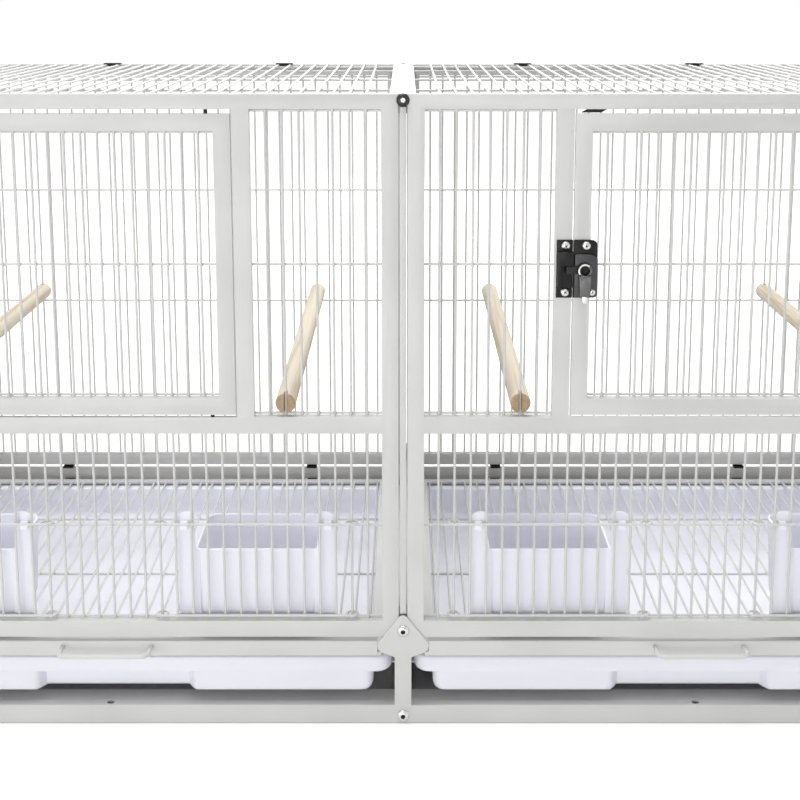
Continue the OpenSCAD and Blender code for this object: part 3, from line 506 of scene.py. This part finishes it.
def cupSteps():
    z0, z1, w, dr, r = cup["low"], cup["low"] + cup["h"], cup["wall"], cup["draft"], cup["radius"]
    steps = [(dr + a, z0 + b, r + c) for a, b, c in cup["foot"]]
    steps += [(a, z1 + b, r + c) for a, b, c in cup["lip"]] + [(w, z1 - 1.2, r)]
    return steps + [(w + dr + a, z0 + b, r + c) for a, b, c in cup["inside"]]


# the flange beside a cup, away from the centre plane where s is 1 and nearer to it where s is -1
def addWing(bm, centre, left, s):
    z0, z1 = cup["low"], cup["low"] + cup["h"]
    half, end, top = cup["w"] / 2, cup["w"] / 2 + wing["w"], z1 + wing["rise"]
    r1, r2, r3, root = wing["outer"], wing["inner"], wing["under"], cup["w"] / 2 - wing["overlap"]
    outline = arc(end - r1, top - r1, r1, 0, 90, 6) + arc(half + r2, top - r2, r2, 90, 180, 4)
    outline += [(half, z1 + 3), (half - 1.0, z1 + 1), (root, z1 - 0.8), (root, z0 + r3)]
    outline += arc(end - r3, z0 + 2 * r3, r3, -90, 0, 5)
    extrude(bm, outline, lambda p, q, t: world(centre + s * p, cupFront + t, q, left), 0.05, cup["wall"],
            wing["soft"])


# the hook on a flange, which hangs over a cross wire
def addHook(bm, centre, left, s):
    t, front, low, top, root, r = (hook[key] for key in ("t", "front", "low", "top", "root", "bend"))
    outline = [(root, top - 1.2), (root, top + t)] + arc(front - t + r, top + t - r, r, 90, 180, 4)
    outline += arc(front - t / 2, low + t / 2, t / 2, 180, 360, 6) + [(front, top - 0.6), (front + 0.6, top)]
    mid, half = centre + s * hook["pitches"] * wires["pitch"], hook["w"] / 2
    extrude(bm, outline, lambda p, q, x: world(x, cupFront + p, q, left), mid - half, mid + half, hook["soft"], 1)


for side in sides:
    left = side == "left"
    for k, wire in cup["wires"].items():
        bm = bmesh.new()
        loft(bm, [cupRing(wireU(wire), left, *step) for step in cupSteps()])
        for s in (-1, 1):
            addWing(bm, wireU(wire), left, s)
            addHook(bm, wireU(wire), left, s)
        obj = makeObject(f"{side}{k.capitalize()}CupShell", bm, f"cup_{side}_{k}", "white_plastic", angle=40)
        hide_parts(f"cup_{side}_{k}")
print("cups done")


# ---- geometry nodes ----
def makeTree(name, inputs):
    tree = bpy.data.node_groups.new(name, "GeometryNodeTree")
    for label, kind in inputs:
        tree.interface.new_socket(label, in_out="INPUT", socket_type="NodeSocket" + kind)
    tree.interface.new_socket("Geometry", in_out="OUTPUT", socket_type="NodeSocketGeometry")
    return tree, tree.nodes.new("NodeGroupInput").outputs, tree.nodes.new("NodeGroupOutput").inputs


def namedAttribute(tree, name, kind):
    node = tree.nodes.new("GeometryNodeInputNamedAttribute")
    node.data_type = kind
    node.inputs["Name"].default_value = name
    return node.outputs["Attribute"]


# runs a tree on a cloud of points and leaves one plain mesh
def grow(name, points, tree, values, body, attributes, angle=35.0):
    mesh = bpy.data.meshes.new(name)
    mesh.from_pydata(points, [], [])
    for label, vectors in attributes.items():
        layer = mesh.attributes.new(label, "FLOAT_VECTOR", "POINT")
        for k, vector in enumerate(vectors):
            layer.data[k].vector = vector
    obj = bpy.data.objects.new(name, mesh)
    bpy.context.scene.collection.objects.link(obj)
    mod = obj.modifiers.new("grow", "NODES")
    mod.node_group = tree
    for item in tree.interface.items_tree:
        if item.name in values:
            mod[item.identifier] = values[item.name]
    result = bpy.data.meshes.new_from_object(obj.evaluated_get(bpy.context.evaluated_depsgraph_get()))
    obj.modifiers.remove(mod)
    obj.data = result
    result.polygons.foreach_set("use_smooth", [True] * len(result.polygons))
    result.set_sharp_from_angle(angle=math.radians(angle))
    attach(obj, body)
    return obj


# ---- bolts and screws ----
screws = {"bolt": 10, "boltH": 2.4, "boltShank": 5, "shankL": 5, "pan": 7, "panH": 2.2, "rivet": 5.25,
          "socket": 0.17, "cross": 0.20, "hexSize": 0.9, "crossCore": 0.42, "crossArm": 0.75, "segments": 32,
          "turn": 6.28, "seed": 4, "baseZ": 6.3, "gussetZ": 80, "topZ": 503.5,
          # radius by diameter and height by head height, from the seat inwards
          "dome": ((0.5, 0), (0.5, 0.18), (0.485, 0.34), (0.44, 0.58), (0.37, 0.80), (0.29, 0.94))}


# a round head that looks along -y, with its recess cut in and its faces marked for the second material
def headMesh(name, d, h, shank, cross):
    segments = screws["segments"]

    def recess(angle, size):
        if cross:
            return size * (screws["crossCore"] + screws["crossArm"] * max(0.0, math.cos(4 * angle)) ** 2)
        return size * screws["hexSize"] / math.cos((angle % (math.pi / 3)) - math.pi / 6)

    def ring(r, y, shaped=False):
        points = []
        for k in range(segments):
            angle = 2 * math.pi * k / segments
            size = recess(angle, r) if shaped else r
            points.append(Vector((size * math.cos(angle), y, size * math.sin(angle))) / 1000)
        return points

    hole = d * screws["cross" if cross else "socket"]
    rings = [ring(shank / 2, screws["shankL"]), ring(shank / 2, 0.0)] if shank else []
    rings += [ring(d * a, -b * h) for a, b in screws["dome"]]
    rings += [ring(hole + 0.25, -h, True), ring(hole, -0.93 * h, True), ring(hole * 0.86, -0.35 * h, True)]
    bm = bmesh.new()
    loft(bm, rings)
    bmesh.ops.recalc_face_normals(bm, faces=bm.faces)
    mesh = bpy.data.meshes.new(name)
    bm.to_mesh(mesh)
    bm.free()
    mark = mesh.attributes.new("recess", "BOOLEAN", "FACE")
    for k, poly in enumerate(mesh.polygons):
        inHole = all(math.hypot(mesh.vertices[v].co.x, mesh.vertices[v].co.z) * 1000 < hole * 1.25
                     for v in poly.vertices)
        mark.data[k].value = inHole and poly.center.y < 0 and poly.center.y * -1000 < 0.97 * h
    mesh.polygons.foreach_set("use_smooth", [True] * len(mesh.polygons))
    return bpy.data.objects.new(name, mesh)


# heads on points, each faced by its attribute and turned by chance, with the recess in its own material
def makeFastenerTree():
    tree, given, made = makeTree("fastenerTree", [
        ("Points", "Geometry"), ("Head", "Object"), ("Size", "Float"), ("Turn", "Float"), ("Seed", "Int"),
        ("Finish", "Material"), ("Recess", "Material")])
    link, new = tree.links.new, tree.nodes.new
    info = new("GeometryNodeObjectInfo")
    link(given["Head"], info.inputs["Object"])
    facing = namedAttribute(tree, "facing", "FLOAT_VECTOR")
    spin = new("FunctionNodeRandomValue")
    link(given["Turn"], spin.inputs["Max"])
    link(given["Seed"], spin.inputs["Seed"])
    turnAxis = new("ShaderNodeCombineXYZ")
    link(spin.outputs["Value"], turnAxis.inputs["Y"])
    place = new("GeometryNodeInstanceOnPoints")
    link(given["Points"], place.inputs["Points"])
    link(info.outputs["Geometry"], place.inputs["Instance"])
    link(given["Size"], place.inputs["Scale"])
    link(facing, place.inputs["Rotation"])
    turned = new("GeometryNodeRotateInstances")
    link(place.outputs["Instances"], turned.inputs["Instances"])
    link(turnAxis.outputs["Vector"], turned.inputs["Rotation"])
    real = new("GeometryNodeRealizeInstances")
    link(turned.outputs["Instances"], real.inputs["Geometry"])
    finish = new("GeometryNodeSetMaterial")
    link(real.outputs["Geometry"], finish.inputs["Geometry"])
    link(given["Finish"], finish.inputs["Material"])
    dark = new("GeometryNodeSetMaterial")
    link(finish.outputs["Geometry"], dark.inputs["Geometry"])
    link(namedAttribute(tree, "recess", "BOOLEAN"), dark.inputs["Selection"])
    link(given["Recess"], dark.inputs["Material"])
    link(dark.outputs["Geometry"], made["Geometry"])
    return tree


fastenerTree = makeFastenerTree()
boltHead = headMesh("boltHead", screws["bolt"], screws["boltH"], screws["boltShank"], False)
panHead = headMesh("panHead", screws["pan"], screws["panH"], 0, True)


# spots are (point, whether it looks to the rear); the recess is black by default, a painted shade
def fasteners(name, head, spots, body, finish=brightSteel, recess=blackAndRecessShade, size=1.0, turn=screws["turn"],
              seed=screws["seed"]):
    facing = [(0, 0, math.pi if rear else 0) for _, rear in spots]
    values = {"Head": head, "Size": size, "Turn": turn, "Seed": seed, "Finish": finish, "Recess": recess}
    return grow(name, [p for p, _ in spots], fastenerTree, values, body, {"facing": facing})


gussetT = -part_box("gussets")[0].y * 1000 + frontY
lowSpots, topSpots = [], []
for rear in (False, True):
    for z, out in ((screws["baseZ"], 0), (screws["gussetZ"], gussetT)):
        lowSpots.append((world(0, cageD + out if rear else -out, z), rear))
    topSpots.append((world(0, cageD if rear else 0, screws["topZ"]), rear))
bolts = fasteners("frameBoltHeads", boltHead, lowSpots, "cage")
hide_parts("frame_bolts")
fasteners("topBoltHeads", boltHead, topSpots, "cage", darkSteel, brightSteel)


# ---- latches ----
# corners run from the lower right one round to the lower left one
latch = {"plateU": (129.8, 148), "plateZ": (352.5, 397.5), "plateT": 1.2, "plateCorners": (4, 4, 0.8, 0.8),
         "caseU": (130.4, 148.2), "caseZ": (353, 387), "caseT": 4, "caseCorners": (3.2, 6.5, 1.6, 1.6),
         "screwAt": (139.5, 392.9), "rivetAt": (144.2, 357.3), "strikeU": 123.85, "strikeZ": (357.1, 392.9),
         "strikeEdge": 128, "reach": 0.6, "pivotU": 138, "pivotZ": 375, "plateSoft": 0.3, "caseSoft": 0.75,
         "strikeSoft": 0.35, "seat": 0.02, "sunk": 0.1}
# the lever's tab takes bright steel below a given depth under the pivot, a painted highlight
lever = {"hub": 5.6, "hole": 3.4, "hubFront": 9.4, "front": 11.3, "thick": 2.4, "clear": 0.3, "tabFrom": 20.2,
         # the thin wire arc over the hub's upper left is bright steel, a painted highlight
         "spring": 0.75, "springArc": (48, 214), "tongueFront": 6.9, "axleFront": 5.2, "axleClear": 0.02,
         # boxes and outlines from the pivot
         "tongue": (-14, -4, -3, 3), "neck": (-3.4, 3.4, -6.2, -3.6),
         "handle": [(-4.6, -3.4), (-4.3, -12)] + arc(-2.5, -18.4, 1.5, 190, 265, 3)
         + arc(2.5, -18.4, 1.5, 275, 350, 3) + [(4.3, -12), (4.6, -3.4), (3.2, -4.3), (0, -5.0), (-3.2, -4.3)],
         "tab": [(-1.9, -18.5), (-1.9, -24.5), (-1.2, -25.2), (1.2, -25.2), (1.9, -24.5), (1.9, -18.5)]}
strikeSpots = [(world(latch["strikeU"], -latch["plateT"], z, left, True), False)
               for left in (True, False) for z in latch["strikeZ"]]
fasteners("strikeScrews", panHead, strikeSpots, "cage")
print("bolts done")


# a ring turned about the lever's pivot, from (radius, t) points
def turnedRing(bm, profile, left, a0=0.0, a1=360.0, segments=40):
    whole = a1 - a0 >= 360
    rings = []
    for k in range(segments if whole else segments + 1):
        angle = math.radians(a0 + (a1 - a0) * k / segments)
        rings.append([world(latch["pivotU"] + r * math.cos(angle), t, latch["pivotZ"] + r * math.sin(angle),
                            left, True) for r, t in profile])
    loft(bm, rings, closed=whole)


def roundedBox(u0, u1, z0, z1, radii):
    spots = ((u1, z0, -90, radii[0], -1, 1), (u1, z1, 0, radii[1], -1, -1), (u0, z1, 90, radii[2], 1, -1),
             (u0, z0, 180, radii[3], 1, 1))
    out = []
    for u, z, a, r, su, sz in spots:
        out += arc(u + su * r, z + sz * r, r, a, a + 90, 6)
    return out


def fromPivot(outline):
    return [(latch["pivotU"] + a, latch["pivotZ"] + b) for a, b in outline]


def boxFromPivot(u0, u1, z0, z1):
    return fromPivot([(u0, z0), (u1, z0), (u1, z1), (u0, z1)])


# plate and case on the door, with their screw and rivet
def addLatchBody(side, left, place):
    door = f"door_{side}"
    bm = bmesh.new()
    extrude(bm, roundedBox(*latch["plateU"], *latch["plateZ"], latch["plateCorners"]), place, -latch["plateT"],
            -latch["seat"], latch["plateSoft"])
    plate = makeObject(f"{side}LatchPlate", bm, door, "black_metal")
    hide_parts(f"latch_plate_{side}")
    bm = bmesh.new()
    extrude(bm, roundedBox(*latch["caseU"], *latch["caseZ"], latch["caseCorners"]), place, -latch["caseT"],
            -latch["plateT"] + latch["sunk"], latch["caseSoft"], 3)
    makeObject(f"{side}LatchCase", bm, door, "bright_steel", [darkZinc], angle=50)
    u, z = latch["screwAt"]
    heads = fasteners(f"{side}LatchScrew", panHead, [(world(u, -latch["plateT"], z, left, True), False)], door)
    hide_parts(f"latch_screws_{side}")
    u, z = latch["rivetAt"]
    fasteners(f"{side}CaseRivet", panHead, [(world(u, -latch["caseT"], z, left, True), False)], door,
              size=screws["rivet"] / screws["pan"], turn=0.0, seed=1)


# hub and handle, tongue and axle, and a thin bright steel arc on the hub, a painted highlight
def addLever(side, left, place):
    body = f"lever_{side}"
    seat, hubFront, r0, r1 = -latch["caseT"] - lever["clear"], -lever["hubFront"], lever["hole"], lever["hub"]
    front, back = -lever["front"], -lever["front"] + lever["thick"]
    bm = bmesh.new()
    turnedRing(bm, [(r0, seat), (r0, hubFront + 0.4), (r0 + 0.3, hubFront), (r1 - 0.9, hubFront),
                    (r1 - 0.25, hubFront + 0.3), (r1, hubFront + 0.9), (r1, seat)], left)
    extrude(bm, fromPivot(lever["handle"]), place, front, back, 0.6, 3)
    extrude(bm, fromPivot(lever["tab"]), place, front + 0.5, back - 0.3, 0.3)
    extrude(bm, boxFromPivot(*lever["neck"]), place, front + 0.8, seat - 1.0, 0.3)
    arm = makeObject(f"{side}LatchLever", bm, body, "bright_steel", [leverZinc, brightSteel], angle=45)
    for poly in arm.data.polygons:      # the tab at the lever's end takes bright steel, a painted highlight
        poly.material_index = int(poly.center.z * 1000 < latch["pivotZ"] - lever["tabFrom"])
    arm.data.update()
    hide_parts(f"latch_lever_{side}")
    bm = bmesh.new()
    extrude(bm, boxFromPivot(*lever["tongue"]), place, -lever["tongueFront"], seat, 0.4)
    # the axle stands deep in the hub's hole, and its black there is painted shade; the tongue takes the same black
    axle, axleFront = r0 - lever["axleClear"], -lever["axleFront"]
    turnedRing(bm, [(0, axleFront), (0, seat), (axle, seat), (axle, axleFront)], left)
    makeObject(f"{side}LatchTongue", bm, body, "bright_steel", [blackAndRecessShade], angle=45)
    # a thin bright steel arc over the hub's upper left, a painted highlight
    bm = bmesh.new()
    r, wire = r1 - 0.9, lever["spring"]
    turnedRing(bm, [(r + wire * math.cos(math.radians(b)), hubFront - 0.3 + wire * math.sin(math.radians(b)))
                    for b in range(0, 360, 36)], left, *lever["springArc"], 28)
    makeObject(f"{side}LatchSpring", bm, body, "bright_steel")


strikes = softEdges("latch_strikes", latch["strikeSoft"])
for v in strikes.data.vertices:      # the keeper reaches almost to the door's plate
    u = v.co.x * 1000 + (halfW if v.co.x < 0 else 0)
    if u > latch["strikeEdge"]:
        v.co.x += latch["reach"] / 1000
for side in sides:
    left = side == "left"

    def onDoor(p, q, t):
        return world(p, t, q, left, True)

    addLatchBody(side, left, onDoor)
    addLever(side, left, onDoor)
print("latches done")


# ---- welds ----
welds = {"size": 1.65, "flat": 0.42, "spread": 0.14, "seed": 11, "segments": 8, "rings": 5, "probe": 1.02,
         "touch": 0.0004, "sideWires": 30}
# depth or height of each panel's crossings, and the places of its cross wires
layers = {"front": 7.01, "rear": 412.99, "side": 467.99, "roof": 505.99, "grate": 58.59}
crosses = {"upper": (258.5, 377, 495.2), "door": (273.5, 377, 478.8), "lower": (89.3, 166, 242.1),
           "rear": (89.3, 258.5, 377, 495.2), "roof": (9.5, 79, 210, 341, 410.5), "grate": (27, 162, 297)}


# flattened blobs on points, each a little larger or smaller by chance
def makeWeldTree():
    tree, given, made = makeTree("weldTree", [
        ("Points", "Geometry"), ("Size", "Float"), ("Spread", "Float"), ("Seed", "Int"), ("Finish", "Material")])
    link, new = tree.links.new, tree.nodes.new
    blob = new("GeometryNodeMeshUVSphere")
    blob.inputs["Segments"].default_value = welds["segments"]
    blob.inputs["Rings"].default_value = welds["rings"]
    link(given["Size"], blob.inputs["Radius"])
    vary = new("FunctionNodeRandomValue")
    link(maths(tree, "SUBTRACT", 1.0, given["Spread"]), vary.inputs["Min"])
    link(maths(tree, "ADD", 1.0, given["Spread"]), vary.inputs["Max"])
    link(given["Seed"], vary.inputs["Seed"])
    scale = new("ShaderNodeVectorMath")
    scale.operation = "SCALE"
    link(namedAttribute(tree, "squash", "FLOAT_VECTOR"), scale.inputs[0])
    link(vary.outputs["Value"], scale.inputs["Scale"])
    place = new("GeometryNodeInstanceOnPoints")
    link(given["Points"], place.inputs["Points"])
    link(blob.outputs["Mesh"], place.inputs["Instance"])
    link(scale.outputs["Vector"], place.inputs["Scale"])
    real = new("GeometryNodeRealizeInstances")
    link(place.outputs["Instances"], real.inputs["Geometry"])
    finish = new("GeometryNodeSetMaterial")
    link(real.outputs["Geometry"], finish.inputs["Geometry"])
    link(given["Finish"], finish.inputs["Material"])
    link(finish.outputs["Geometry"], made["Geometry"])
    return tree


# a weld stands where a CAD panel has wire on both sides of the spot along the axis
def addWelds(node, places, axis):
    bm = bmesh.new()
    bm.from_mesh(nodes[node].data)
    wireTree = BVHTree.FromBMesh(bm)
    bm.free()
    step = Vector([welds["probe"] if k == axis else 0 for k in range(3)]) * 2 / 1000
    squash = Vector([welds["flat"] if k == axis else 1 for k in range(3)])
    for p in places:
        if all(wireTree.find_nearest(q, welds["touch"])[0] is not None for q in (p - step, p + step)):
            weldSpots.setdefault(nodes[node]["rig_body"], []).append((p, squash))


weldTree = makeWeldTree()
weldSpots = {}
wireUs = [wireU(i) for i in range(wires["count"])]
sideTs = [cageD / 2 + (k - (welds["sideWires"] - 1) / 2) * wires["pitch"] for k in range(welds["sideWires"])]
for side in sides:
    left = side == "left"
    for node, rows, layer in (("narrow_mesh_{}_inner", "upper", "front"), ("narrow_mesh_{}_outer", "upper", "front"),
                              ("lower_mesh_{}", "lower", "front"), ("rear_mesh_{}", "rear", "rear"),
                              ("door_mesh_{}", "door", "front")):
        addWelds(node.format(side), [world(u, layers[layer], z, left) for u in wireUs for z in crosses[rows]], 1)
    addWelds(f"side_mesh_{side}", [world(layers["side"], t, z, left) for t in sideTs for z in crosses["rear"]], 0)
    for node, kind in (("roof_mesh_{}", "roof"), ("grate_{}", "grate")):
        addWelds(node.format(side), [world(u, t, layers[kind], left) for u in wireUs for t in crosses[kind]], 2)
for body, rows in weldSpots.items():
    values = {"Size": welds["size"] / 1000, "Spread": welds["spread"], "Seed": welds["seed"],
              "Finish": materials["cream_paint"]}
    grow(camel(body) + "Welds", [p for p, _ in rows], weldTree, values, body,
         {"squash": [q for _, q in rows]}, 60)
print("welds done:", sum(len(rows) for rows in weldSpots.values()))


# ---- stage ----
# glow is the floor's own light, which rises between the distances near and far, in metres
stage = {"sky": 0.34, "glowNear": 0.34, "glowFar": 0.84, "near": 0.5, "far": 2.2, "floor": (0.9, 0.9, 0.9, 1),
         "floorSize": 30.0, "floorDrop": 0.0005}
lamps = {"overheadLight": {"places": [(-0.3, 0.1, 2.6)], "aim": (0, 0, 0.25), "size": (2.2, 1.8), "power": 56},
         "frontLight": {"places": [(-0.9, -2.6, 0.45)], "aim": (0, 0, 0.2), "size": (2.4, 0.8), "power": 22},
         "backLight": {"places": [(0.7, 2.8, 1.1)], "aim": (0, 0, 0.25), "size": (2.4, 1.4), "power": 26},
         "sideLight": {"places": [(-2.9, 0.2, 1.0), (2.9, 0.2, 1.0)], "aim": (0, 0, 0.25), "size": (1.8, 1.4),
                       "power": 12}}
camera = {"x": 1.6, "back": 1061.0, "z": 587.0, "lens": 63.75, "sensor": 36, "tilt": 10.14, "shiftX": -0.0063,
          "shiftY": -0.2}


# 1 for rays that see the background itself, straight or in metal
def seesBackground(tree):
    path = tree.nodes.new("ShaderNodeLightPath")
    first = path.outputs["Is Camera Ray"]
    for other in ("Is Glossy Ray", "Is Transmission Ray"):
        first = maths(tree, "MAXIMUM", first, path.outputs[other])
    return first


# the floor glows for the camera, more so far away, and not at all inside the base
def addFloorGlow(tree, shader, at):
    parts = splitXYZ(tree, at)
    beside = maths(tree, "GREATER_THAN", maths(tree, "ABSOLUTE", parts["X"]), halfW / 1000)
    before = maths(tree, "GREATER_THAN", maths(tree, "ABSOLUTE", parts["Y"]), -frontY / 1000)
    reach = tree.nodes.new("ShaderNodeVectorMath")
    reach.operation = "LENGTH"
    tree.links.new(at, reach.inputs[0])
    rise = remap(tree, reach.outputs["Value"], stage["glowNear"], stage["glowFar"], stage["near"], stage["far"])
    glow = maths(tree, "MULTIPLY", maths(tree, "MAXIMUM", beside, before), rise)
    shader.inputs["Emission Color"].default_value = (1, 1, 1, 1)
    tree.links.new(maths(tree, "MULTIPLY", glow, seesBackground(tree)), shader.inputs["Emission Strength"])


bm = bmesh.new()
bmesh.ops.create_grid(bm, x_segments=2, y_segments=2, size=stage["floorSize"])
floorMesh = bpy.data.meshes.new("floor")
bm.to_mesh(floorMesh)
bm.free()
floor = bpy.data.objects.new("floor", floorMesh)
floor.location.z = -stage["floorDrop"]
bpy.context.scene.collection.objects.link(floor)
floorMat, floorTree, floorShader, floorAt = startMaterial("paleFloor", 0.9)
floorShader.inputs["Base Color"].default_value = stage["floor"]
floorShader.inputs["Specular IOR Level"].default_value = 0.1
floorMesh.materials.append(floorMat)
floor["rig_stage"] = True
addFloorGlow(floorTree, floorShader, floorAt)

sky = bpy.data.worlds.new("softSky")
sky.use_nodes = True
skyTree = sky.node_tree
air = skyTree.nodes["Background"]
air.inputs["Color"].default_value = (1, 1, 1, 1)
skyTree.links.new(remap(skyTree, seesBackground(skyTree), stage["sky"], 1.0), air.inputs["Strength"])
bpy.context.scene.world = sky


# ---- light and camera ----
def softLight(name, place, target, size, power):
    data = bpy.data.lights.new(name, "AREA")
    data.shape = "RECTANGLE"
    data.size, data.size_y = size
    data.energy = power
    obj = bpy.data.objects.new(name, data)
    obj.location = place
    obj.rotation_euler = (Vector(target) - Vector(place)).to_track_quat("-Z", "Y").to_euler()
    bpy.context.scene.collection.objects.link(obj)


for name, lamp in lamps.items():
    for place in lamp["places"]:
        softLight(name, place, lamp["aim"], lamp["size"], lamp["power"])

lens = bpy.data.cameras.new("photoCamera")
lens.sensor_width = camera["sensor"]
lens.sensor_fit = "HORIZONTAL"
lens.lens = camera["lens"]
lens.shift_x, lens.shift_y = camera["shiftX"], camera["shiftY"]
shot = bpy.data.objects.new("photoCamera", lens)
shot.location = Vector((camera["x"], frontY - camera["back"], camera["z"])) / 1000
shot.rotation_euler = (math.radians(90 - camera["tilt"]), 0, 0)
bpy.context.scene.collection.objects.link(shot)
bpy.context.scene.camera = shot
bpy.context.scene.view_settings.view_transform = "Standard"
print("stage done")

low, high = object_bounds()
